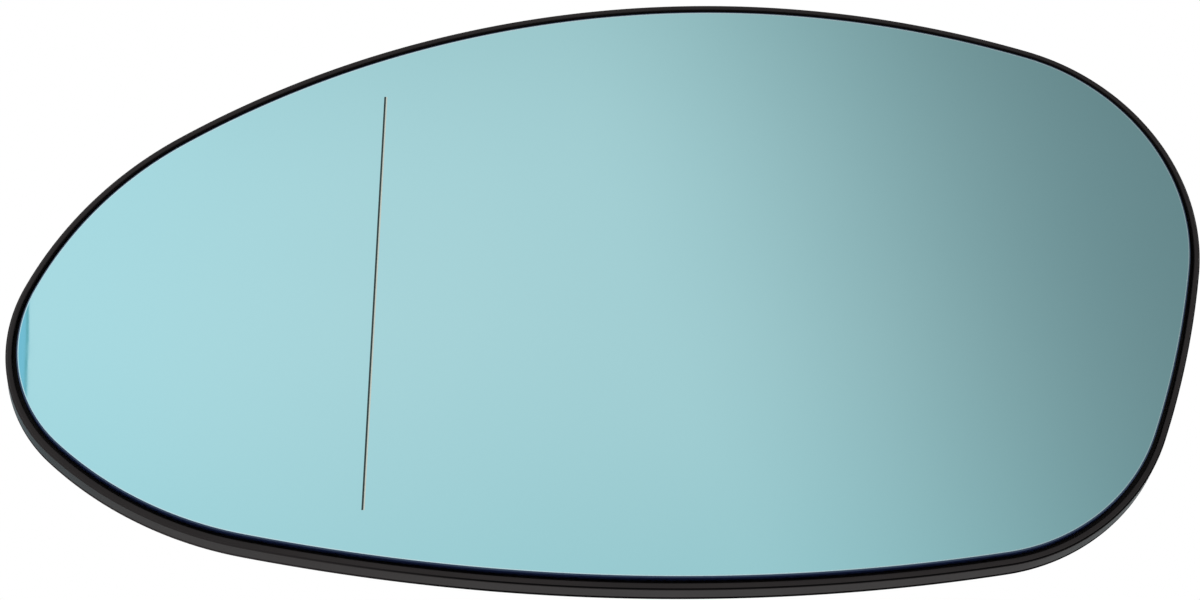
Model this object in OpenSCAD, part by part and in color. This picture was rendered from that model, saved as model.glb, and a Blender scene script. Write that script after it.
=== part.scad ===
// Left-hand door mirror glass on its moulded carrier, glass facing -Y, +Z up, outboard nose at -X.
// The origin is the centre of the rear snap ring, in the plane where its hooks grip.

/* [Outline of the glass] */
// Radius of the upper inboard corner
shoulder_r = 34; // [28:0.5:42]
// Radius of the long arched top
brow_r = 172; // [140:1:220]
// Radius of the upper side running down to the nose
flank_r = 61; // [50:0.5:80]
// Radius of the outboard nose
nose_r = 23.5; // [18:0.5:30]
// Radius of the lower side of the nose
chin_r = 58.5; // [45:0.5:75]
// Radius of the lower inboard corner
heel_r = 33.5; // [26:0.5:42]
// Direction, from the inboard axis, where each arc takes over from the one before
arc_from = [-9, 75, 123, 155.5, 226, 259, 281.5, 340]; // [-360:0.5:360]
// Sideways place of the upper inboard corner's centre
corner_x = 55.3; // [50:0.1:60]
// Height of the upper inboard corner's centre
corner_z = 13.65; // [8:0.05:20]

/* [Mirror glass] */
// Thickness of the bent glass
glass_t = 2; // [1.6:0.1:3]
// Spherical radius of the main field
face_r = 1400; // [1000:50:2200]
// Bend radius just outboard of the dividing line
bend_r = 800; // [600:10:900]
// Bend radius of the outer end
tip_r = 450; // [350:10:550]
// Width of the first, gentler band outboard of the dividing line
bend_w = 25; // [15:1:35]
// Sideways place of the dividing line
line_x = -42.8; // [-60:0.1:-30]
// Lean of the dividing line, its top going inboard
line_lean = 1.5; // [0:0.1:5]
// Width of the dividing line
line_w = 0.3; // [0.2:0.05:0.6]
// Depth of the dividing line
line_d = 0.1; // [0.05:0.05:0.3]
// Height of the top end of the dividing line
line_top = 32.7; // [20:0.1:40]
// Height of the low end of the dividing line
line_low = -40; // [-45:0.1:-20]

/* [Carrier rim] */
// Gap left all round between the glass and the lip
glass_gap = 0.74; // [0.4:0.01:1.5]
// Width of the lip seen from the front
lip_w = 0.76; // [0.5:0.01:1.5]
// How far the lip sits behind the front of the glass
lip_back = 0.48; // [0.3:0.01:1.5]
// Depth of the lip before the side wall steps out
step_back = 0.45; // [0.3:0.05:1]
// How far the side wall stands out from the lip
step_out = 0.25; // [0.15:0.05:0.8]
// Depth of the whole carrier edge behind the front of the glass
edge_d = 4.7; // [4:0.05:6]

/* [Layers behind the glass] */
// Thickness of the heater film
film_t = 0.3; // [0.2:0.05:0.5]
// How far the film stops inside the glass edge
film_in = 4; // [2:0.5:8]
// Thickness of the foam tape
tape_t = 0.6; // [0.4:0.1:1]
// How far the tape stops inside the glass edge
tape_in = 5; // [2:0.5:9]

/* [Ribs] */
// Thickness of every rib
rib_t = 1.2; // [0.8:0.1:2]
// Height of the ribs above the back of the floor
rib_h = 2.4; // [1.5:0.1:4]
// How far the rib that follows the edge lies inside the glass outline
edge_rib_in = 5.5; // [4:0.5:9]
// Radius of the round rib about the snap ring
round_rib_r = 40; // [36:0.5:44]
// Number of ribs running out from the snap ring
spokes = 12; // [8:2:16]

/* [Snap ring] */
// Inside radius of the ring
ring_r = 29; // [24:0.5:32]
// Wall of the solid foot of the ring
foot_t = 2.6; // [2:0.1:3.5]
// Height of the solid foot above the floor
foot_h = 3.4; // [2:0.1:5]
// Thickness of each snap finger
finger_t = 1.7; // [1.2:0.1:2.4]
// Height of the fingers above the floor
finger_h = 10; // [8:0.5:14]
// Number of snap fingers
fingers = 12; // [6:1:16]
// Width of the slots between fingers
slot_w = 3; // [2:0.1:5]
// How far each hook reaches inward
hook_in = 1.1; // [0.6:0.1:1.8]
// Height of the straight part of a hook
hook_h = 1.2; // [0.4:0.1:1.6]
// How far the slots cut down into the foot
slot_in = 0.8; // [0.4:0.1:1.5]
// How deep the ring and the ribs root in the floor
root_in = 0.6; // [0.3:0.1:1]
// How far the webs behind the fingers reach out along the ribs
web_l = 6; // [3:0.5:8]

/* [Heater terminals] */
// Width of a blade
blade_w = 6.3; // [4.8:0.1:6.3]
// Thickness of a blade
blade_t = 0.8; // [0.5:0.1:1]
// Length of a blade from its foot to its end
blade_len = 11; // [9:0.5:14]
// Length of the foot soldered to the film
foot_len = 5; // [3:0.5:6]
// Bevel at the end corners of a blade
blade_bevel = 1.2; // [0.5:0.1:2]
// Diameter of the catch hole in a blade
catch_d = 1.8; // [1:0.1:2.2]
// How far the catch hole is from the end of a blade
catch_in = 3; // [2:0.1:5]
// Sideways place of the blade nearer the ring
blade_x = 48; // [44:0.5:56]
// Distance between the two blades
blade_gap = 12; // [10:0.5:16]
// Clearance round a foot and its blade
foot_play = 1; // [0.5:0.1:2]

/* [Hidden] */

$fn = 96;
fine_fn = 720;
arcs = len(arc_from);
rim_out = glass_gap + lip_w;
wall_out = rim_out + step_out;
film_d = glass_t;
tape_d = film_d + film_t;
floor_d = tape_d + tape_t;
hook_r = ring_r - hook_in;
tip_y = hook_in + hook_h / 2;
back_y = tip_y - finger_h;
front_y = back_y - edge_d;
// How far a cutting shape runs past the part
over = 12;

function dir(a) = [cos(a), sin(a)];
function from(i) = i < arcs ? arc_from[i] : arc_from[0] + 360;
function chord(i) = dir(from(i + 1)) - dir(from(i));
function sum(v, i = 0) = i < len(v) ? v[i] + sum(v, i + 1) : [0, 0];

// The bottom and the inboard side take the radii that close the loop.
set_r = [shoulder_r, brow_r, flank_r, nose_r, chin_r, 0, heel_r, 0];
open_by = -sum([for (i = [0:arcs - 1]) set_r[i] * chord(i)]);
det = chord(5)[0] * chord(7)[1] - chord(7)[0] * chord(5)[1];
low_r = (open_by[0] * chord(7)[1] - chord(7)[0] * open_by[1]) / det;
side_r = (chord(5)[0] * open_by[1] - open_by[0] * chord(5)[1]) / det;
arc_r = [shoulder_r, brow_r, flank_r, nose_r, chin_r, low_r, heel_r, side_r];
function centre(i) = i == 0 ? [corner_x, corner_z]
    : centre(i - 1) + (arc_r[i - 1] - arc_r[i]) * dir(from(i));

// A longer arc is drawn a hair inside its place, so that it crosses its shorter neighbour cleanly.
// Shorter arcs run on by lap_a degrees, and each arc's sector is core deep.
hair = 0.00002;
main_hair = 0.01;
bend_hair = 0.003;
lap_a = 2;
core = 10;

// Rough reach of the outline: its inboard side, its top, and its whole length.
inboard_x = corner_x + shoulder_r;
top_z = centre(1)[1] + brow_r;
span_x = 2 * inboard_x;

// The closed outline, grown by off; every arc keeps its centre.
module outline(off = 0) {
    polygon([for (i = [0:arcs - 1]) centre(i) + (arc_r[i] + off - core / 2) * dir(from(i))]);
    for (i = [0:arcs - 1]) {
        r = arc_r[i] + off;
        a = from(i) - (arc_r[i] < arc_r[(i + arcs - 1) % arcs] ? lap_a : 0);
        b = from(i + 1) + (arc_r[i] < arc_r[(i + 1) % arcs] ? lap_a : 0);
        far = r / cos((b - a) / 2) + 1;
        translate(centre(i)) intersection() {
            circle(r = r * (1 - hair), $fn = fine_fn);
            polygon([(r - core) * dir(a), far * dir(a), far * dir(b), (r - core) * dir(b)]);
        }
    }
}

// A flat shape run straight through the whole part, and the block that the outline gives.
module through() {
    translate([0, tip_y + over, 0]) rotate([90, 0, 0])
        linear_extrude(height = tip_y - front_y + 2 * over) children();
}
module block(off) {
    through() outline(off);
}

// Section of the face along the dividing line's normal: [distance from the bend axis, x].
line_a = asin(line_x / face_r);
tip_a = line_a - bend_w / bend_r * 180 / PI;
bend_c = (face_r - bend_r) * dir(line_a);
tip_c = bend_c + (bend_r - tip_r) * dir(tip_a);
inboard_a = asin((inboard_x + over) / face_r);
nose_a = asin((span_x / 2 + line_x + over) / tip_r);
module band(c, r, a, b, deep) {
    translate(c) intersection() {
        circle(r = r, $fn = 2 * fine_fn);
        polygon([(r - deep) * dir(a), (r + over) * dir(a), (r + over) * dir(b), (r - deep) * dir(b)]);
    }
}
module behind(d, deep, wide) {
    band([0, 0], face_r - d - main_hair, line_a, inboard_a + wide, deep);
    band(bend_c, bend_r - d - bend_hair, tip_a, line_a + lap_a, deep);
    band(tip_c, tip_r - d, tip_a - nose_a - wide, tip_a + lap_a, deep);
}
module about_bend_axis(low = -top_z - over, high = top_z + over) {
    a = asin(high / face_r);
    b = asin(low / face_r);
    rotate([0, line_lean, 0]) translate([0, front_y + face_r, 0]) rotate([-90, 0, 0]) rotate([0, 90, 0])
        rotate([0, 0, -a]) rotate_extrude(angle = a - b, $fn = 2 * fine_fn) children();
}

// A bowed sheet that follows the face, from depth d0 to depth d1 behind it.
module sheet(d0, d1) {
    about_bend_axis() difference() {
        behind(d0, d1 + over, 0);
        behind(d1, d1 + 2 * over, lap_a);
    }
}

module mirror_glass() color([0.62, 0.8, 0.84]) difference() {
    intersection() {
        block(0);
        sheet(0, glass_t);
    }
    about_bend_axis(line_low, line_top)
        translate([face_r * cos(line_a) - line_d, line_x - line_w / 2]) square([line_d + 1, line_w]);
}

module heater_film() color([0.75, 0.74, 0.7]) intersection() {
    block(-film_in);
    sheet(film_d, tape_d);
}

// The room a foot needs in the tape and its blade needs in the floor.
module foot_room(i, grow) {
    translate([blade_x + i * blade_gap - grow, -blade_w / 2 - grow])
        square([foot_len + 2 * grow, blade_w + 2 * grow]);
}

module foam_tape() color([0.16, 0.16, 0.17]) difference() {
    intersection() {
        block(-tape_in);
        sheet(tape_d, floor_d);
    }
    for (i = [0, 1]) through() foot_room(i, foot_play);
}

// Ribs seen from behind, as one flat pattern.
module rib_pattern() {
    difference() {
        outline(-edge_rib_in);
        outline(-edge_rib_in - rib_t);
    }
    difference() {
        circle(r = round_rib_r + rib_t);
        circle(r = round_rib_r);
    }
    intersection() {
        outline(-edge_rib_in - rib_t / 2);
        for (k = [0:spokes - 1]) rotate(180 / spokes + k * 360 / spokes)
            translate([ring_r + foot_t / 2, -rib_t / 2]) square([span_x, rib_t]);
    }
}
module collar(grow) {
    translate([blade_x - foot_play - grow, -blade_w / 2 - foot_play - grow])
        square([blade_gap + foot_len + 2 * (foot_play + grow), blade_w + 2 * (foot_play + grow)]);
}

// A snap ring: a solid foot, then fingers with a lead-in and a hook, backed by webs on the ribs.
module snap_ring() {
    for (k = [0:spokes - 1]) rotate([0, 180 / spokes + k * 360 / spokes, 0])
        translate([0, 0, -rib_t / 2]) linear_extrude(height = rib_t) polygon([
            [ring_r + foot_t / 2, back_y], [ring_r + foot_t + web_l, back_y],
            [ring_r + foot_t + web_l, back_y + rib_h / 2], [ring_r + foot_t / 2, back_y + foot_h]
        ]);
    difference() {
        rotate([-90, 0, 0]) rotate_extrude() polygon([
            [ring_r, back_y - root_in], [ring_r + foot_t, back_y - root_in],
            [ring_r + foot_t, back_y + foot_h], [ring_r + finger_t, back_y + foot_h + foot_t - finger_t],
            [ring_r + finger_t, tip_y], [ring_r, tip_y],
            [hook_r, tip_y - hook_in], [hook_r, tip_y - hook_in - hook_h],
            [ring_r, tip_y - hook_in - hook_h - hook_in / 2]
        ]);
        for (k = [0:fingers - 1]) rotate([0, k * 360 / fingers, 0])
            translate([hook_r - hook_in, back_y + foot_h - slot_in, -slot_w / 2]) cube([over, over, slot_w]);
    }
}

module carrier() color([0.09, 0.09, 0.1]) {
    difference() {
        union() {
            intersection() {
                block(rim_out);
                sheet(lip_back, edge_d);
            }
            intersection() {
                block(wall_out);
                sheet(lip_back + step_back, edge_d);
            }
            intersection() {
                through() {
                    rib_pattern();
                    collar(rib_t);
                }
                sheet(edge_d - root_in, edge_d + rib_h);
            }
        }
        intersection() {
            block(glass_gap);
            sheet(-edge_d, floor_d);
        }
        for (i = [0, 1]) through() foot_room(i, foot_play);
    }
    snap_ring();
}

// A blade terminal: its foot lies on the back of the film, and the blade stands up at the foot's end.
module terminal(i) {
    x = blade_x + i * blade_gap;
    root_y = front_y + tape_d + face_r - sqrt(face_r * face_r - x * x);
    intersection() {
        through() foot_room(i, 0);
        sheet(tape_d, tape_d + blade_t);
    }
    translate([x, root_y, 0]) rotate([0, 90, 0]) linear_extrude(height = blade_t) difference() {
        polygon([
            [-blade_w / 2, blade_t / 2], [blade_w / 2, blade_t / 2],
            [blade_w / 2, blade_len - blade_bevel], [blade_w / 2 - blade_bevel, blade_len],
            [-blade_w / 2 + blade_bevel, blade_len], [-blade_w / 2, blade_len - blade_bevel]
        ]);
        translate([0, blade_len - catch_in]) circle(d = catch_d);
    }
}
module terminal_near() color([0.8, 0.72, 0.45]) terminal(0);
module terminal_far() color([0.8, 0.72, 0.45]) terminal(1);

mirror_glass();
heater_film();
foam_tape();
carrier();
terminal_near();
terminal_far();
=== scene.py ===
import math
import bmesh
import bpy
import numpy as np
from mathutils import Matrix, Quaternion, Vector
from mathutils.geometry import delaunay_2d_cdt


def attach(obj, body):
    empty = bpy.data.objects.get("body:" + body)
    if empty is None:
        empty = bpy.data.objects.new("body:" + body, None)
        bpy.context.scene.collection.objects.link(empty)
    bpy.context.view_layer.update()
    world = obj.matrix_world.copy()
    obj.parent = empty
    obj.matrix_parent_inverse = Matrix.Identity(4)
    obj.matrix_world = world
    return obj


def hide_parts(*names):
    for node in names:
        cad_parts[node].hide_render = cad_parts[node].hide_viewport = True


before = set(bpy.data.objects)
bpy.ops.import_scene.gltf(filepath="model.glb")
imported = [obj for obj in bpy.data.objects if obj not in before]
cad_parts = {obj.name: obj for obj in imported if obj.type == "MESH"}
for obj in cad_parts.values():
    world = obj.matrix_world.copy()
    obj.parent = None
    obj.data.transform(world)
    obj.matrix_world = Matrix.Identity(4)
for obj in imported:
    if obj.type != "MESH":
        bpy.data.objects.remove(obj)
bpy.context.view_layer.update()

mm = 0.001

# Oval outline of the glass: eight arcs, each with the direction where it takes over from the last.
# The two arcs with no radius take what closes the loop.
outlineShape = {
    "radii": [34.0, 172.0, 61.0, 23.5, 58.5, None, 33.5, None],
    "from": [-9.0, 75.0, 123.0, 155.5, 226.0, 259.0, 281.5, 340.0],
    "firstCentre": (55.3, 13.65),    # x and z in mm
    "pointEvery": 0.9,       # mm along the edge
    "turnEvery": 1.5,        # degrees at the tight corners
}

# The bowed face: a wide sphere, then two tighter bends outboard of the dividing line.
faceShape = {
    "mainRadius": 1400.0,
    "bendRadius": 800.0,
    "tipRadius": 450.0,
    "bendWidth": 25.0,       # of the middle bend, from the line to the tip
    "lineX": -42.8,
    "lineLean": 1.5,         # degrees, top going inboard
    "frontY": -13.0,         # front of the glass on the axis of the snap ring
}


def towards(degrees):
    return np.array([math.cos(math.radians(degrees)), math.sin(math.radians(degrees))])


def closeOutline(shape):
    count = len(shape["radii"])
    starts = shape["from"] + [shape["from"][0] + 360.0]
    chords = [towards(starts[i + 1]) - towards(starts[i]) for i in range(count)]
    radii = list(shape["radii"])
    a, b = [i for i in range(count) if radii[i] is None]
    left = -sum(r * c for r, c in zip(radii, chords) if r is not None)
    radii[a], radii[b] = np.linalg.solve(np.column_stack([chords[a], chords[b]]), left)
    centres = [np.array(shape["firstCentre"])]
    for i in range(1, count):
        centres.append(centres[-1] + (radii[i - 1] - radii[i]) * towards(starts[i]))
    return radii, centres, starts


# Points round the outline, each with the way out from the edge there.
def walkOutline(shape):
    radii, centres, starts = closeOutline(shape)
    points, outward = [], []
    for radius, centre, low, high in zip(radii, centres, starts, starts[1:]):
        turn = high - low
        steps = max(math.ceil(math.radians(turn) * radius / shape["pointEvery"]),
                    math.ceil(turn / shape["turnEvery"]))
        for k in range(steps):
            way = towards(low + turn * k / steps)
            points.append(centre + radius * way)
            outward.append(way)
    return np.array(points), np.array(outward)


edgePoints, edgeOutward = walkOutline(outlineShape)
print("outline walked in", len(edgePoints), "points")


def alongLine(x, z):
    lean = math.radians(faceShape["lineLean"])
    return x * math.cos(lean) - z * math.sin(lean), x * math.sin(lean) + z * math.cos(lean)


# Height of the bowed face, or of any sheet that lies depth mm behind it.
def sheetY(x, z, depth=0.0):
    main, bend, tip = faceShape["mainRadius"], faceShape["bendRadius"], faceShape["tipRadius"]
    across, along = alongLine(np.asarray(x, float), np.asarray(z, float))
    lineAngle = math.asin(faceShape["lineX"] / main)
    tipAngle = lineAngle - faceShape["bendWidth"] / bend
    bendCentre = (main - bend) * np.array([math.cos(lineAngle), math.sin(lineAngle)])
    tipCentre = bendCentre + (bend - tip) * np.array([math.cos(tipAngle), math.sin(tipAngle)])
    mainOut = np.sqrt((main - depth) ** 2 - across ** 2)
    bendOut = bendCentre[0] + np.sqrt((bend - depth) ** 2 - (across - bendCentre[1]) ** 2)
    tipOut = tipCentre[0] + np.sqrt((tip - depth) ** 2 - (across - tipCentre[1]) ** 2)
    bendAt = (main - depth) * math.sin(lineAngle)
    tipAt = bendCentre[1] + (bend - depth) * math.sin(tipAngle)
    out = np.where(across >= bendAt, mainOut, np.where(across >= tipAt, bendOut, tipOut))
    return faceShape["frontY"] + main - np.sqrt(out ** 2 - along ** 2)


def faceNormal(x, z, depth=0.0):
    nudge = 0.05             # mm to either side, for the slope
    slopeX = (sheetY(x + nudge, z, depth) - sheetY(x - nudge, z, depth)) / (2 * nudge)
    slopeZ = (sheetY(x, z + nudge, depth) - sheetY(x, z - nudge, depth)) / (2 * nudge)
    return Vector((float(slopeX), -1.0, float(slopeZ))).normalized()


# A section given by its corners, (outward, depth, corner radius), with each corner rounded.
def roundCorners(corners, closed=False, steps=4):
    section, count = [], len(corners)
    for i, (u, v, radius) in enumerate(corners):
        if radius == 0 or (not closed and i in (0, count - 1)):
            section.append((u, v))
            continue
        corner = np.array([u, v], float)
        a = np.array(corners[i - 1][:2], float) - corner
        b = np.array(corners[(i + 1) % count][:2], float) - corner
        a, b = a / np.linalg.norm(a), b / np.linalg.norm(b)
        half = math.acos(float(np.clip(a @ b, -1, 1))) / 2
        middle = corner + (a + b) / np.linalg.norm(a + b) * radius / math.sin(half)
        first = corner + a * radius / math.tan(half) - middle
        last = corner + b * radius / math.tan(half) - middle
        bend = math.pi - 2 * half
        for k in range(steps + 1):
            t = k / steps
            spoke = (math.sin((1 - t) * bend) * first + math.sin(t * bend) * last) / math.sin(bend)
            section.append(tuple(middle + spoke))
    return section


# Runs a section along a path on the bowed sheet, and returns one row of vertices per section point.
# The material is one number, or one for each strip between two rows. Shut joins the last row to the
# first too, and caps the ends of a path that isn't closed.
def runSection(bm, points, outward, section, closed=True, material=0, shut=False):
    rows = []
    for out, depth in section:
        flat = points + outward * out
        y = sheetY(flat[:, 0], flat[:, 1], depth)
        rows.append([bm.verts.new((x * mm, h * mm, z * mm)) for (x, z), h in zip(flat, y)])
    if shut:
        if not closed:
            bm.faces.new([row[0] for row in rows])
            bm.faces.new([row[-1] for row in reversed(rows)])
        rows.append(rows[0])
    count = len(points)
    for i, (lower, upper) in enumerate(zip(rows, rows[1:])):
        for k in range(count if closed else count - 1):
            n = (k + 1) % count
            face = bm.faces.new((lower[k], lower[n], upper[n], upper[k]))
            face.material_index = material[i] if isinstance(material, list) else material
    return rows


def isInside(x, z, loop):
    a, b = loop, np.roll(loop, -1, axis=0)
    inside = np.zeros(x.shape, bool)
    for (x0, z0), (x1, z1) in zip(a, b):
        if z0 == z1:
            continue
        crosses = (z0 > z) != (z1 > z)
        inside ^= crosses & (x < (x1 - x0) * (z - z0) / (z1 - z0) + x0)
    return inside


def flatPoints(row):
    return np.array([(v.co.x / mm, v.co.z / mm) for v in row])


# The same loop, made larger or smaller about its middle.
def resized(loop, times):
    middle = loop.mean(0)
    return middle + (loop - middle) * times


# Fills the space inside one row of vertices, and outside any holes, with a sheet on the bow.
# Strips are loops within the sheet: the first gets the second material, the next the third.
def fillSheet(bm, rim, depth, every, holes=(), strips=(), materials=(0,)):
    verts = [v for row in [rim, *holes] for v in row]
    flat = [Vector((v.co.x / mm, v.co.z / mm)) for v in verts]
    edges, start = [], 0
    for row in [rim, *holes]:
        edges += [(start + k, start + (k + 1) % len(row)) for k in range(len(row))]
        start += len(row)
    for strip in strips:
        edges += [(len(flat) + k, len(flat) + (k + 1) % len(strip)) for k in range(len(strip))]
        flat += [Vector(p) for p in strip]
    loop = flatPoints(rim)
    low, high = loop.min(0), loop.max(0)
    gx, gz = np.meshgrid(np.arange(low[0] + every / 2, high[0], every),
                         np.arange(low[1] + every / 2, high[1], every))
    gx, gz = gx.ravel(), gz.ravel()
    # grid points too close to a border would only make slivers
    keep = isInside(gx, gz, resized(loop, 1 - every / 100))
    holeLoops = [flatPoints(hole) for hole in holes]
    for hole in holeLoops:
        keep &= ~isInside(gx, gz, resized(hole, 1.1))
    if strips:
        across, _ = alongLine(gx, gz)
        keep &= abs(across - faceShape["lineX"]) > every / 3
    flat += [Vector((float(x), float(z))) for x, z in zip(gx[keep], gz[keep])]
    found, _, faces, origins, _, _ = delaunay_2d_cdt(flat, edges, [list(range(len(rim)))], 1, 1e-6)
    made = []
    for point, origin in zip(found, origins):
        known = [k for k in origin if k < len(verts)]
        if known:
            made.append(verts[known[0]])
        else:
            y = float(sheetY(point.x, point.y, depth))
            made.append(bm.verts.new((point.x * mm, y * mm, point.y * mm)))
    stripLoops = [np.array(strip) for strip in strips]
    for face in faces:
        centre = sum((found[k] for k in face), Vector((0, 0))) / len(face)
        x, z = np.array([centre.x]), np.array([centre.y])
        if any(isInside(x, z, hole)[0] for hole in holeLoops):
            continue
        on = [i + 1 for i, strip in enumerate(stripLoops) if isInside(x, z, strip)[0]]
        corners = [made[k] for k in face]
        if len(set(corners)) == len(corners) and not bm.faces.get(corners):
            bm.faces.new(corners).material_index = materials[on[0] if on else 0]


sharpAngle = 35.0            # degrees between two faces from which their edge stays crisp


def makePiece(name, bm, materials):
    bmesh.ops.recalc_face_normals(bm, faces=bm.faces)
    for face in bm.faces:
        face.smooth = True
    for edge in bm.edges:
        if len(edge.link_faces) == 2 and math.degrees(edge.calc_face_angle(0.0)) > sharpAngle:
            edge.smooth = False
    mesh = bpy.data.meshes.new(name)
    bm.to_mesh(mesh)
    bm.free()
    for material in materials:
        mesh.materials.append(material)
    piece = bpy.data.objects.new(name, mesh)
    bpy.context.scene.collection.objects.link(piece)
    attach(piece, "root")
    print(name, "built,", len(mesh.polygons), "faces")
    return piece


# Small helpers for the procedural finishes. Sizes are in mm on the real part.
def startFinish(name):
    material = bpy.data.materials.new(name)
    material.use_nodes = True
    tree = material.node_tree
    place = tree.nodes.new("ShaderNodeTexCoord").outputs["Object"]
    return material, tree, tree.nodes["Principled BSDF"], place


def addNoise(tree, place, size, detail=3.0, rough=0.5):
    noise = tree.nodes.new("ShaderNodeTexNoise")
    noise.inputs["Scale"].default_value = 1.0 / (size * mm)
    noise.inputs["Detail"].default_value = detail
    noise.inputs["Roughness"].default_value = rough
    tree.links.new(place, noise.inputs["Vector"])
    return noise.outputs["Fac"]


def addRange(tree, value, low, high, fromLow=0.3, fromHigh=0.7):
    spread = tree.nodes.new("ShaderNodeMapRange")
    for socket, number in zip(("From Min", "From Max", "To Min", "To Max"), (fromLow, fromHigh, low, high)):
        spread.inputs[socket].default_value = number
    tree.links.new(value, spread.inputs["Value"])
    return spread.outputs["Result"]


def addColours(tree, value, first, second):
    mix = tree.nodes.new("ShaderNodeMix")
    mix.data_type = "RGBA"
    mix.inputs[6].default_value = (*first, 1.0)
    mix.inputs[7].default_value = (*second, 1.0)
    tree.links.new(value, mix.inputs[0])
    return mix.outputs[2]


def darker(colour, share):
    return tuple(share * c for c in colour)


# Gives a shader its colour and its roughness, each led from the first to the second by a value.
def addLook(tree, shader, colourBy, colours, roughBy, rough):
    tree.links.new(addColours(tree, colourBy, *colours), shader.inputs["Base Color"])
    tree.links.new(addRange(tree, roughBy, *rough), shader.inputs["Roughness"])


def addBump(tree, shader, height, strength, distance):
    bump = tree.nodes.new("ShaderNodeBump")
    bump.inputs["Strength"].default_value = strength
    bump.inputs["Distance"].default_value = distance * mm
    tree.links.new(height, bump.inputs["Height"])
    tree.links.new(bump.outputs["Normal"], shader.inputs["Normal"])


# Mirror glass

mirrorGlass = {
    "thickness": 2.0,
    "arrisWidth": 0.15,      # painted highlight: a paler strip just inside the front edge
    "groundEdge": 0.22,      # radius of the ground edge outside it
    "backEdge": 0.2,
    "lineWidth": 0.3,
    "flankWidth": 0.2,       # painted highlight: a pale flat strip for the lit inboard wall of the ground line
    "lineTop": 32.7,         # both ends of the line, measured along it
    "lineLow": -40.0,
    "faceEvery": 2.5,        # mm between the points that carry the bow
    "tint": (0.43, 0.718, 0.766),
    "tintDeep": (0.42, 0.71, 0.76),
    "arrisHighlightColour": (0.66, 0.84, 0.88),
    "edgeColour": (0.038, 0.066, 0.125),
    "sideColour": (0.014, 0.025, 0.085),
    "lineColour": (0.014, 0.036, 0.035),
    "flankHighlightColour": (0.72, 0.8, 0.72),
}


def tintedCoating():
    material, tree, shader, place = startFinish("tintedCoating")
    cloud = addRange(tree, addNoise(tree, place, 45, 2.0), 0.0, 1.0)
    wipe = addNoise(tree, place, 9, 5.0, 0.6)
    shader.inputs["Metallic"].default_value = 1.0
    addLook(tree, shader, cloud, (mirrorGlass["tint"], mirrorGlass["tintDeep"]), wipe, (0.012, 0.035))
    return material


# The strip along the front edge: a paler copy of the coating on the same bowed face, a painted highlight.
def arrisPaintedHighlight():
    material, tree, shader, place = startFinish("arrisPaintedHighlight")
    grain, colour = addNoise(tree, place, 0.4, 3.0), mirrorGlass["arrisHighlightColour"]
    shader.inputs["Metallic"].default_value = 1.0
    addLook(tree, shader, grain, (colour, darker(colour, 0.9)), grain, (0.15, 0.3))
    return material


# Ground, uncoated glass in any shade: the edge, the dividing line, and the pale strip beside the line that
# is a painted highlight.
def groundGlass(name, colour, level=0.5):
    material, tree, shader, place = startFinish(name)
    grain = addNoise(tree, place, 0.25, 4.0)
    addLook(tree, shader, grain, (colour, darker(colour, 0.8)), grain, (0.35, 0.55))
    shader.inputs["Specular IOR Level"].default_value = level
    addBump(tree, shader, grain, 0.4, 0.02)
    return material


def glassSide():
    material, tree, shader, place = startFinish("glassSide")
    streak, colour = addNoise(tree, place, 0.8, 4.0), mirrorGlass["sideColour"]
    addLook(tree, shader, streak, (colour, darker(colour, 0.6)), streak, (0.35, 0.5))
    shader.inputs["Specular IOR Level"].default_value = 0.2
    addBump(tree, shader, streak, 0.1, 0.02)
    return material


# Two long narrow loops: the dark line itself, and the pale strip of painted highlight on its inboard side.
def lineStrips():
    lean = math.radians(faceShape["lineLean"])
    low, high, steps = mirrorGlass["lineLow"], mirrorGlass["lineTop"], 40
    first = faceShape["lineX"] - mirrorGlass["lineWidth"] / 2
    second = first + mirrorGlass["lineWidth"]
    strips = []
    for left, right in ((first, second), (second, second + mirrorGlass["flankWidth"])):
        heights = [low + (high - low) * k / steps for k in range(steps + 1)]
        loop = [(left, along) for along in heights] + [(right, along) for along in reversed(heights)]
        strips.append([(across * math.cos(lean) + along * math.sin(lean),
                        -across * math.sin(lean) + along * math.cos(lean)) for across, along in loop])
    return strips


def buildGlass():
    bm = bmesh.new()
    coat, edge, side, line, flank, arris = range(6)
    thick, ground, back = mirrorGlass["thickness"], mirrorGlass["groundEdge"], mirrorGlass["backEdge"]
    front = [(-ground - mirrorGlass["arrisWidth"], 0.0)]
    front += [(ground * (math.sin(math.radians(a)) - 1), ground * (1 - math.cos(math.radians(a))))
              for a in (0, 30, 60, 90)]
    rows = runSection(bm, edgePoints, edgeOutward, front, material=[arris, edge, edge, edge])
    sides = runSection(bm, edgePoints, edgeOutward,
                       [(0, ground), (0, thick - back), (-back, thick)], material=side)
    every = mirrorGlass["faceEvery"]
    fillSheet(bm, rows[0], 0.0, every, strips=lineStrips(), materials=(coat, line, flank))
    fillSheet(bm, sides[-1], thick, 2 * every, materials=(side,))
    bmesh.ops.remove_doubles(bm, verts=[v for row in (rows[-1], sides[0]) for v in row], dist=0.001 * mm)
    piece = makePiece("glass_plate", bm, [
        tintedCoating(),
        groundGlass("groundEdge", mirrorGlass["edgeColour"], level=0.2),
        glassSide(),
        groundGlass("dividingLine", mirrorGlass["lineColour"]),
        groundGlass("flankPaintedHighlight", mirrorGlass["flankHighlightColour"]),
        arrisPaintedHighlight(),
    ])
    # the face reflects cleanly only with the bow's own normals
    mesh = piece.data
    onFace = set()
    for polygon in mesh.polygons:
        if polygon.material_index in (coat, line, flank, arris):
            onFace.update(polygon.vertices)
    normals = [faceNormal(v.co.x / mm, v.co.z / mm) if v.index in onFace else v.normal.copy()
               for v in mesh.vertices]
    mesh.normals_split_custom_set_from_vertices(normals)
    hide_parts("mirror_glass")


buildGlass()


# Moulded carrier: lip, side wall, floor, ribs and the snap ring, all one moulding

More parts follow.
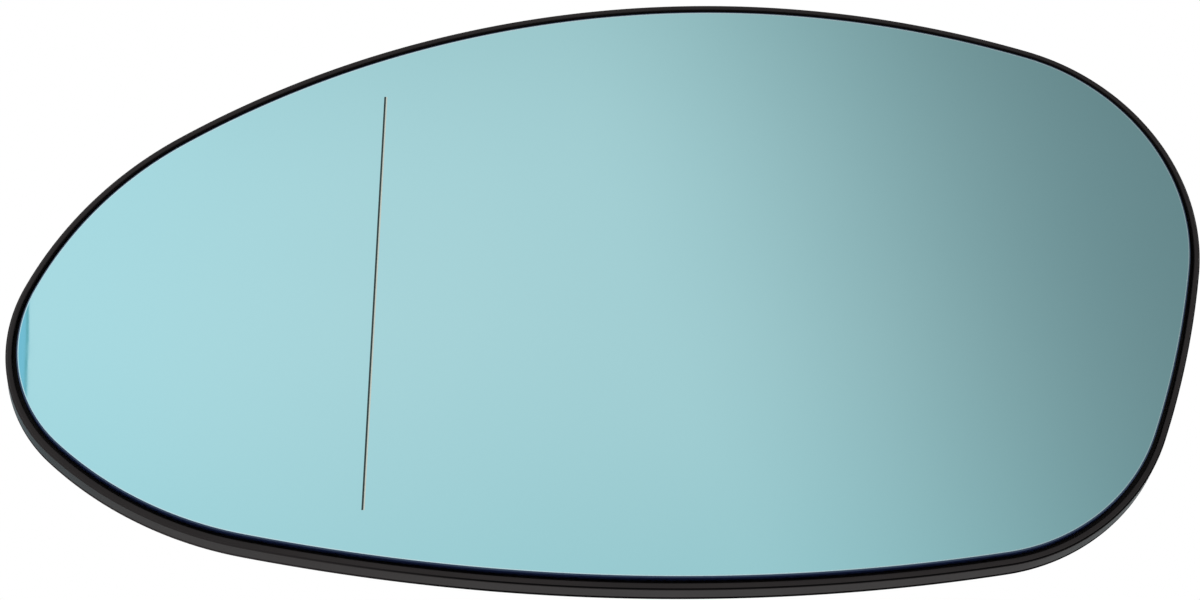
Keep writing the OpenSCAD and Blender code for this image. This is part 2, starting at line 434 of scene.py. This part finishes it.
carrierTray = {
    "gap": 0.74,             # between glass and lip
    "lipWidth": 0.76,
    "lipBack": 0.48,         # lip behind the front of the glass
    "stepBack": 0.45,        # from the front of the lip back to the step
    "stepOut": 0.25,         # from the lip out to the side wall
    "wallPlay": 0.005,       # keeps the side wall just inside the solid's
    "edgeDepth": 4.7,        # rear edge behind the front of the glass
    "floorFront": 2.9,
    "rearFlat": 1.5,         # rear rim that reaches in from the outline of the glass
    "lipRound": 0.2,
    "stepRound": 0.1,
    "wallRound": 0.15,
    "rearBand": 0.95,        # band along the rear edge, matt and painted dark as shade
    "rearRound": 0.2,
    "ribHeight": 2.4,
    "ribWidth": 1.2,
    "ribRound": 0.22,
    "ribSink": 0.3,          # foot of the ribs inside the floor
    "edgeRibIn": 5.5,
    "roundRib": 40.0,
    "spokes": 12,
}

snapRing = {
    "radius": 29.0,
    "footWall": 2.6,
    "footHeight": 3.4,
    "footSink": 1.0,         # foot of the ring inside the floor
    "fingerWall": 1.7,
    "fingerHeight": 10.0,
    "fingerSink": 0.4,       # foot of each finger inside the ring's foot
    "shoulderRound": 0.2,
    "neckRound": 0.5,
    "tipRound": 0.35,
    "leadRound": 0.15,       # where the tip starts to lean in to the hook
    "fingers": 12,
    "slotWidth": 3.0,
    "slotIn": 0.8,
    "slotRound": 0.14,       # of the fingers' sides
    "hookIn": 1.1,
    "hookHeight": 1.2,
    "hookRound": 0.2,
    "hookRootRound": 0.3,
    "webLength": 6.0,
    "webSink": 0.5,
    "webRound": 0.15,
    "tipY": 1.7,
}

bladeWindows = {
    "x": [(47.0, 54.0), (59.0, 66.0)],
    "halfHeight": 4.15,
    "cornerRound": 0.5,
    "chamfer": 0.2,          # round the mouth of each window
    "collar": 1.2,
    "collarCorner": 0.8,
    "collarRound": 0.25,
}

carrierFinish = {
    "mouldedBlack": {
        "grain": 0.16,
        "cloud": 14,
        "colours": ((0.0262, 0.0232, 0.0234), (0.0325, 0.0288, 0.0288)),
        "rough": (0.36, 0.46),
        "level": 0.045,
        "bump": (0.25, 0.012),
    },
    # painted shade: matt and deep black on the step and the rear band, the painted shade fading paler
    # towards the outboard end
    "mattBlackPaintedShade": {
        "grain": 0.12,
        "colours": ((0.042, 0.038, 0.0385), (0.006, 0.0058, 0.006)),
        "turnsBetween": (-65.0, -25.0),
        "rough": (0.7, 0.85),
        "level": 0.0,
        "bump": (0.4, 0.015),
    },
    # the back comes off a smoother half of the mould than the lip and side wall
    "smoothBack": {
        "grain": 0.3,
        "cloud": 18,
        "colours": ((0.024, 0.0232, 0.0236), (0.03, 0.029, 0.0292)),
        "rough": (0.32, 0.44),
        "level": 0.35,
        "bump": (0.15, 0.01),
    },
}

moulded, matt, smooth = range(3)     # the carrier's materials, in the order above


def carrierBlack(name):
    look = carrierFinish[name]
    material, tree, shader, place = startFinish(name)
    if "cloud" in look:
        grain = addNoise(tree, place, look["grain"], 3.0, 0.6)
        cloud = addNoise(tree, place, look["cloud"], 4.0)
        addLook(tree, shader, addRange(tree, cloud, 0.0, 1.0), look["colours"], cloud, look["rough"])
    else:
        grain = addNoise(tree, place, look["grain"], 4.0, 0.6)
        parts = tree.nodes.new("ShaderNodeSeparateXYZ")
        tree.links.new(place, parts.inputs["Vector"])
        # the painted shade fades paler towards the outboard end
        outer, inner = look["turnsBetween"]
        inboard = addRange(tree, parts.outputs["X"], 0.0, 1.0, outer * mm, inner * mm)
        addLook(tree, shader, inboard, look["colours"], grain, look["rough"])
    shader.inputs["Specular IOR Level"].default_value = look["level"]
    addBump(tree, shader, grain, *look["bump"])
    return material


spokeAngles = [(k + 0.5) * 360.0 / carrierTray["spokes"] for k in range(carrierTray["spokes"])]


def straightRun(start, end, every=2.0):
    start, end = np.array(start, float), np.array(end, float)
    steps = max(2, math.ceil(np.linalg.norm(end - start) / every))
    points = np.array([start + (end - start) * k / steps for k in range(steps + 1)])
    along = (end - start) / np.linalg.norm(end - start)
    return points, np.tile([-along[1], along[0]], (len(points), 1))


def circleRun(radius, every=2.0):
    way = np.array([towards(a) for a in np.arange(0, 360, every)])
    return radius * way, way


def boxRun(low, high, radius, every=1.5):
    points, outward = [], []
    corners = [(high[0] - radius, high[1] - radius, 0), (low[0] + radius, high[1] - radius, 90),
               (low[0] + radius, low[1] + radius, 180), (high[0] - radius, low[1] + radius, 270)]
    for i, (x, z, turn) in enumerate(corners):
        arc = [towards(turn + 90 * k / 4) for k in range(5)]
        points += [np.array([x, z]) + radius * way for way in arc]
        outward += arc
        nextX, nextZ, _ = corners[(i + 1) % 4]
        last, after = points[-1], np.array([nextX, nextZ]) + radius * arc[-1]
        steps = math.ceil(np.linalg.norm(after - last) / every)
        points += [last + (after - last) * k / steps for k in range(1, steps)]
        outward += [arc[-1]] * (steps - 1)
    return np.array(points), np.array(outward)


def ribSection():
    tray = carrierTray
    half, root = tray["ribWidth"] / 2, tray["edgeDepth"] - tray["ribSink"]
    top, rounding = tray["edgeDepth"] + tray["ribHeight"], tray["ribRound"]
    return roundCorners([(-half, root, 0), (-half, top, rounding), (half, top, rounding), (half, root, 0)],
                        steps=3)


# How far a spoke runs from the ring's axis to a line that lies inset mm within the outline.
def reachOfSpoke(angle, inset):
    loop = edgePoints - edgeOutward * inset
    low, high = 0.0, 150.0           # mm; the second lies outside the outline at any angle
    while high - low > 0.05:
        middle = (low + high) / 2
        x, z = middle * towards(angle)
        low, high = (middle, high) if isInside(np.array([x]), np.array([z]), loop)[0] else (low, middle)
    return low


# Turns a section of (radius, y) round the ring's axis, and returns the end faces, if it has any.
# The gap is left free at either end, in mm, so that slots keep their width.
def turnSection(bm, section, low, high, steps, gap=0.0, whole=False):
    rows = []
    for k in range(steps if whole else steps + 1):
        row = []
        for radius, y in section:
            trim = math.degrees(math.asin(gap / radius))
            angle = low + trim + (high - low - 2 * trim) * k / steps
            x, z = radius * towards(angle)
            row.append(bm.verts.new((x * mm, y * mm, z * mm)))
        rows.append(row)
    count = len(section)
    for k in range(steps):
        here, there = rows[k], rows[(k + 1) % len(rows)]
        for i in range(count):
            n = (i + 1) % count
            bm.faces.new((here[i], here[n], there[n], there[i]))
    return [] if whole else [bm.faces.new(rows[0]), bm.faces.new(list(reversed(rows[-1])))]


def buildTray(bm):
    tray = carrierTray
    lipIn, lipOut = tray["gap"], tray["gap"] + tray["lipWidth"]
    wallOut, stepAt = lipOut + tray["stepOut"] - tray["wallPlay"], tray["lipBack"] + tray["stepBack"]
    bandAt = tray["edgeDepth"] - tray["rearBand"]
    rim = roundCorners([
        (lipIn, tray["floorFront"], 0),
        (lipIn, tray["lipBack"], 0.85 * tray["lipRound"]),
        (lipOut, tray["lipBack"], tray["lipRound"]),
        (lipOut, stepAt, tray["stepRound"]),
        (wallOut, stepAt, 0.5 * tray["wallRound"]),
        (wallOut, bandAt, 0),
        (wallOut, tray["edgeDepth"], tray["rearRound"]),
        (-tray["rearFlat"], tray["edgeDepth"], 0),
    ])
    # the step behind the lip and the band along the rear edge get the matt black of painted shade
    strips, tiny = [], 0.001
    for (outFrom, depthFrom), (outTo, depthTo) in zip(rim, rim[1:]):
        onStep = outFrom > lipOut - tiny and depthTo < stepAt + tiny
        onBand = depthFrom > bandAt - tiny and outTo > 0
        strips.append(matt if onStep or onBand else moulded)
    rows = runSection(bm, edgePoints, edgeOutward, rim, material=strips)
    top = tray["edgeDepth"] + tray["ribHeight"]
    half, chamfer = bladeWindows["halfHeight"], bladeWindows["chamfer"]
    fronts, tops = [], []
    for low, high in bladeWindows["x"]:
        points, outward = boxRun((low, -half), (high, half), bladeWindows["cornerRound"])
        wall = runSection(bm, points, outward, [
            (0, tray["floorFront"]), (0, tray["edgeDepth"]), (0, top - chamfer), (chamfer, top)])
        fronts.append(wall[0])
        tops.append(wall[-1])
    fillSheet(bm, rows[0], tray["floorFront"], every=6.0, holes=fronts)
    collar = bladeWindows["collar"]
    low = (bladeWindows["x"][0][0] - collar, -half - collar)
    high = (bladeWindows["x"][1][1] + collar, half + collar)
    points, outward = boxRun(low, high, bladeWindows["collarCorner"])
    # the last corner only leads the round inward, and is cut off
    outer = runSection(bm, points, outward, roundCorners(
        [(0, tray["edgeDepth"], 0), (0, top, bladeWindows["collarRound"]), (-0.5, top, 0)], steps=3)[:-1])
    fillSheet(bm, outer[-1], top, every=2.0, holes=tops)
    fillSheet(bm, rows[-1], tray["edgeDepth"], every=4.0, holes=[outer[0]])
    print("tray, windows and collar done")


def buildRibs(bm):
    half, section = carrierTray["ribWidth"] / 2, ribSection()
    middle = carrierTray["edgeRibIn"] + half
    runSection(bm, edgePoints - edgeOutward * middle, edgeOutward, section, shut=True)
    points, outward = circleRun(carrierTray["roundRib"] + half)
    runSection(bm, points, outward, section, shut=True)
    for angle in spokeAngles:
        start = (snapRing["radius"] + snapRing["footWall"] / 2) * towards(angle)
        points, sideways = straightRun(start, reachOfSpoke(angle, middle) * towards(angle))
        runSection(bm, points, sideways, section, closed=False, shut=True)
    print("ribs done")


def roundEdges(bm, faces, rounding):
    edges = list({edge for face in faces for edge in face.edges})
    bmesh.ops.bevel(bm, geom=edges, offset=rounding * mm, segments=2, profile=0.5, affect="EDGES")


def buildRing(bm):
    ring = snapRing
    inner, tip = ring["radius"], ring["tipY"]
    hook, footOut, fingerOut = inner - ring["hookIn"], inner + ring["footWall"], inner + ring["fingerWall"]
    back = tip - ring["fingerHeight"]
    shoulder = back + ring["footHeight"]
    slotFloor, sunk = shoulder - ring["slotIn"], back - ring["footSink"]
    turnSection(bm, [(inner, sunk), (footOut, sunk), (footOut, slotFloor), (inner, slotFloor)],
                0, 360, steps=144, whole=True)
    finger = roundCorners([
        (inner, slotFloor - ring["fingerSink"], 0),
        (footOut, slotFloor - ring["fingerSink"], 0),
        (footOut, shoulder, ring["shoulderRound"]),
        (fingerOut, shoulder + ring["footWall"] - ring["fingerWall"], ring["neckRound"]),
        (fingerOut, tip, ring["tipRound"]),
        (inner, tip, ring["leadRound"]),
        (hook, tip - ring["hookIn"], ring["hookRound"]),
        (hook, tip - ring["hookIn"] - ring["hookHeight"], ring["hookRound"]),
        (inner, tip - 1.5 * ring["hookIn"] - ring["hookHeight"], ring["hookRootRound"]),
    ], closed=True, steps=3)
    step = 360.0 / ring["fingers"]
    for k in range(ring["fingers"]):
        ends = turnSection(bm, finger, k * step, (k + 1) * step, steps=12, gap=ring["slotWidth"] / 2)
        roundEdges(bm, ends, ring["slotRound"])
    half, low = carrierTray["ribWidth"] / 2, back - ring["webSink"]
    wallMiddle, webEnd = inner + ring["footWall"] / 2, footOut + ring["webLength"]
    web = [(wallMiddle, low), (webEnd, low), (webEnd, back + carrierTray["ribHeight"] / 2),
           (wallMiddle, shoulder)]
    for angle in spokeAngles:
        sides = []
        for out in (-half, half):
            flat = [towards(angle) * radius + towards(angle + 90) * out for radius, _ in web]
            sides.append([bm.verts.new((x * mm, y * mm, z * mm)) for (x, z), (_, y) in zip(flat, web)])
        one, other = sides
        faces = [bm.faces.new(one), bm.faces.new(list(reversed(other)))]
        faces += [bm.faces.new((one[i], other[i], other[(i + 1) % 4], one[(i + 1) % 4])) for i in range(4)]
        roundEdges(bm, faces, ring["webRound"])
    print("snap ring done")


def buildCarrier():
    bm = bmesh.new()
    buildTray(bm)
    buildRibs(bm)
    buildRing(bm)
    justBefore = carrierTray["edgeDepth"] - 0.05     # all that lies behind this is the back
    for face in bm.faces:
        x, y, z = face.calc_center_median() / mm
        if y > sheetY(x, z, justBefore):
            face.material_index = smooth
    piece = makePiece("carrier_moulding", bm, [carrierBlack(name) for name in carrierFinish])
    even = piece.modifiers.new("evenShading", "WEIGHTED_NORMAL")
    even.keep_sharp = True
    even.weight = 60
    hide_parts("carrier")


buildCarrier()


# Heater film, foam tape and blade terminals keep their frame solids and get their own finishes

hiddenFinish = {
    "filmColours": ((0.5, 0.48, 0.43), (0.3, 0.3, 0.31)),
    "filmTracks": 40.0,      # scale of the printed tracks
    "foamColours": ((0.03, 0.03, 0.032), (0.055, 0.055, 0.056)),
    "foamCell": 0.35,
    "brassColours": ((0.68, 0.65, 0.56), (0.6, 0.53, 0.38)),
    "bladeRound": 0.07,
}


def printedFilm():
    material, tree, shader, place = startFinish("printedFilm")
    tracks = tree.nodes.new("ShaderNodeTexWave")
    tracks.inputs["Scale"].default_value = hiddenFinish["filmTracks"]
    tree.links.new(place, tracks.inputs["Vector"])
    track = addRange(tree, tracks.outputs["Fac"], 0.0, 1.0, 0.48, 0.52)
    addLook(tree, shader, track, hiddenFinish["filmColours"], addNoise(tree, place, 2.0), (0.35, 0.5))
    addBump(tree, shader, track, 0.3, 0.03)
    return material


def closedFoam():
    material, tree, shader, place = startFinish("closedFoam")
    cells = tree.nodes.new("ShaderNodeTexVoronoi")
    cells.inputs["Scale"].default_value = 1.0 / (hiddenFinish["foamCell"] * mm)
    tree.links.new(place, cells.inputs["Vector"])
    wall = cells.outputs["Distance"]
    addLook(tree, shader, wall, hiddenFinish["foamColours"], wall, (0.75, 0.95))
    addBump(tree, shader, wall, 0.5, 0.08)
    return material


def tinnedBrass():
    material, tree, shader, place = startFinish("tinnedBrass")
    cloud = addNoise(tree, place, 1.6, 4.0)
    shader.inputs["Metallic"].default_value = 1.0
    addLook(tree, shader, addRange(tree, cloud, 0.0, 1.0), hiddenFinish["brassColours"], cloud, (0.22, 0.4))
    addBump(tree, shader, addNoise(tree, place, 0.3, 4.0), 0.15, 0.01)
    return material


def finishFrameNode(name, material, rounding=0.0):
    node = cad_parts[name]
    if not node.material_slots:
        node.data.materials.append(material)
    for place in node.material_slots:
        place.material = material
    if rounding:
        soft = node.modifiers.new("softEdges", "BEVEL")
        soft.width = rounding * mm
        soft.segments = 2
        soft.limit_method = "ANGLE"
        soft.angle_limit = math.radians(40)


finishFrameNode("heater_film", printedFilm())
finishFrameNode("foam_tape", closedFoam())
blades = tinnedBrass()
finishFrameNode("terminal_near", blades, hiddenFinish["bladeRound"])
finishFrameNode("terminal_far", blades, hiddenFinish["bladeRound"])
print("film, tape and terminals finished")


# Studio: floor, soft light and the photograph's camera

# Each soft shade has its middle (azimuth to the right of the front, then elevation), the degrees from
# there where it starts and where it is full, and its colour when full. The last two fade again
# between two more such angles.
studio = {
    "floorZ": -1.7,          # m, low, so that the underside can be looked at
    "floorRadius": 40.0,
    "floorColour": (0.86, 0.86, 0.86),
    "floorRough": 0.8,
    "floorGlow": 0.7,        # share of plain white in what a camera or mirror sees of it
    "worldLight": 0.8,
    "panels": {"leftPanel": (-1.3, -0.5, 0.9), "rearPanel": (0.9, 1.2, 0.9)},
    "panelSize": 0.9,
    "panelPower": 5.0,
    "shades": {
        "right": {"towards": (71.5, 27.3), "from": 58.9, "full": 42.0, "colour": (0.41, 0.44, 0.45)},
        "wideRight": {"towards": (71.5, 27.3), "from": 83.1, "full": 5.0, "colour": (0.67, 0.7, 0.675)},
        "low": {"towards": (0, -90), "from": 116.5, "full": 103.0, "colour": (0.75, 0.88, 0.9)},
        "overhead": {"towards": (0, 90), "from": 61.1, "full": 48.0, "colour": (0.79, 0.83, 0.82)},
        "left": {"towards": (-90, 20), "from": 82.0, "full": 66.0, "colour": (0.93, 0.99, 1.0)},
        "farLeft": {"towards": (-90, 0), "from": 72.67, "full": 72.59, "colour": (0.42, 0.72, 0.85),
                    "fades": (70.7, 63.0)},
        "farLeftFrame": {"towards": (-90, 0), "from": 72.64, "full": 72.58, "colour": (0.7, 0.77, 0.7),
                         "fades": (72.52, 72.44)},
    },
}

photoCamera = {
    "from": (-50.98, -547.08, -267.76),      # mm
    "aim": (-7.09, -11.29, -1.3),
    "roll": -0.19,
    "lens": 113.44,
    "sensor": 36.0,
    "clip": (0.01, 100.0),   # m
}


# One sum of two values, of which the second may be a plain number.
def addMath(tree, operation, first, second):
    node = tree.nodes.new("ShaderNodeMath")
    node.operation = operation
    tree.links.new(first, node.inputs[0])
    if isinstance(second, float):
        node.inputs[1].default_value = second
    else:
        tree.links.new(second, node.inputs[1])
    return node.outputs[0]


# The light path, and 1 for each ray that looks at the studio rather than being lit by it.
def looksAtStudio(tree):
    path = tree.nodes.new("ShaderNodeLightPath")
    looks = path.outputs["Is Camera Ray"]
    for kind in ("Is Glossy Ray", "Is Transmission Ray"):
        looks = addMath(tree, "MAXIMUM", looks, path.outputs[kind])
    return path, looks


# How much of a shade each direction gets, from 0 to 1.
def shadeReach(tree, where, shade):
    azimuth, elevation = (math.radians(a) for a in shade["towards"])
    nearness = tree.nodes.new("ShaderNodeVectorMath")
    nearness.operation = "DOT_PRODUCT"
    nearness.inputs[1].default_value = (math.sin(azimuth) * math.cos(elevation),
                                        -math.cos(azimuth) * math.cos(elevation), math.sin(elevation))
    tree.links.new(where, nearness.inputs[0])

    def reachBetween(start, full):
        ramp = tree.nodes.new("ShaderNodeMapRange")
        ramp.interpolation_type = "SMOOTHSTEP"
        ramp.inputs["From Min"].default_value = math.cos(math.radians(start))
        ramp.inputs["From Max"].default_value = math.cos(math.radians(full))
        tree.links.new(nearness.outputs["Value"], ramp.inputs["Value"])
        return ramp.outputs["Result"]

    reach = reachBetween(shade["from"], shade["full"])
    if "fades" in shade:
        reach = addMath(tree, "SUBTRACT", reach, reachBetween(*shade["fades"]))
    return reach


def lightWorld():
    world = bpy.data.worlds.new("softStudio")
    bpy.context.scene.world = world
    world.use_nodes = True
    tree = world.node_tree
    tree.nodes.clear()
    where = tree.nodes.new("ShaderNodeTexCoord").outputs["Generated"]
    colour = None
    for shade in studio["shades"].values():
        full = addColours(tree, shadeReach(tree, where, shade), (1, 1, 1), shade["colour"])
        if colour is None:
            colour = full
            continue
        times = tree.nodes.new("ShaderNodeVectorMath")
        times.operation = "MULTIPLY"
        tree.links.new(colour, times.inputs[0])
        tree.links.new(full, times.inputs[1])
        colour = times.outputs["Vector"]
    path, looks = looksAtStudio(tree)
    plain = tree.nodes.new("ShaderNodeMix")          # camera rays always see plain white
    plain.data_type = "RGBA"
    plain.inputs[7].default_value = (1, 1, 1, 1)
    tree.links.new(path.outputs["Is Camera Ray"], plain.inputs[0])
    tree.links.new(colour, plain.inputs[6])
    seen = tree.nodes.new("ShaderNodeBackground")
    tree.links.new(plain.outputs[2], seen.inputs["Color"])
    light = tree.nodes.new("ShaderNodeBackground")
    light.inputs["Strength"].default_value = studio["worldLight"]
    light.inputs["Color"].default_value = (1, 1, 1, 1)
    mix = tree.nodes.new("ShaderNodeMixShader")
    tree.links.new(looks, mix.inputs[0])
    tree.links.new(light.outputs[0], mix.inputs[1])
    tree.links.new(seen.outputs[0], mix.inputs[2])
    out = tree.nodes.new("ShaderNodeOutputWorld")
    tree.links.new(mix.outputs[0], out.inputs["Surface"])


def layFloor():
    bm = bmesh.new()
    bmesh.ops.create_circle(bm, cap_ends=True, segments=96, radius=studio["floorRadius"])
    mesh = bpy.data.meshes.new("studio_floor")
    bm.to_mesh(mesh)
    bm.free()
    floor = bpy.data.objects.new("studio_floor", mesh)
    floor.location.z = studio["floorZ"]
    bpy.context.scene.collection.objects.link(floor)
    material = bpy.data.materials.new("paleFloor")
    material.use_nodes = True
    tree = material.node_tree
    shader = tree.nodes["Principled BSDF"]
    shader.inputs["Base Color"].default_value = (*studio["floorColour"], 1)
    shader.inputs["Roughness"].default_value = studio["floorRough"]
    white = tree.nodes.new("ShaderNodeEmission")
    _, looks = looksAtStudio(tree)
    mix = tree.nodes.new("ShaderNodeMixShader")
    tree.links.new(addMath(tree, "MULTIPLY", looks, studio["floorGlow"]), mix.inputs[0])
    tree.links.new(shader.outputs[0], mix.inputs[1])
    tree.links.new(white.outputs[0], mix.inputs[2])
    tree.links.new(mix.outputs[0], tree.nodes["Material Output"].inputs["Surface"])
    mesh.materials.append(material)


def hangPanel(name, place):
    lamp = bpy.data.lights.new(name, "AREA")
    lamp.shape = "RECTANGLE"
    lamp.size = lamp.size_y = studio["panelSize"]
    lamp.energy = studio["panelPower"]
    panel = bpy.data.objects.new(name, lamp)
    panel.location = place
    panel.rotation_mode = "QUATERNION"
    panel.rotation_quaternion = (-Vector(place)).to_track_quat("-Z", "Y")
    bpy.context.scene.collection.objects.link(panel)


def setCamera():
    data = bpy.data.cameras.new("photoCamera")
    data.lens = photoCamera["lens"]
    data.sensor_width = photoCamera["sensor"]
    data.sensor_fit = "HORIZONTAL"
    data.clip_start, data.clip_end = photoCamera["clip"]
    camera = bpy.data.objects.new("photoCamera", data)
    place, aim = (Vector(photoCamera[key]) * mm for key in ("from", "aim"))
    camera.location = place
    camera.rotation_mode = "QUATERNION"
    level = (aim - place).to_track_quat("-Z", "Y")
    camera.rotation_quaternion = level @ Quaternion((0, 0, 1), math.radians(photoCamera["roll"]))
    bpy.context.scene.collection.objects.link(camera)
    bpy.context.scene.camera = camera


lightWorld()
layFloor()
for name, place in studio["panels"].items():
    hangPanel(name, place)
setCamera()
bpy.context.scene.view_settings.view_transform = "Standard"
print("studio ready")
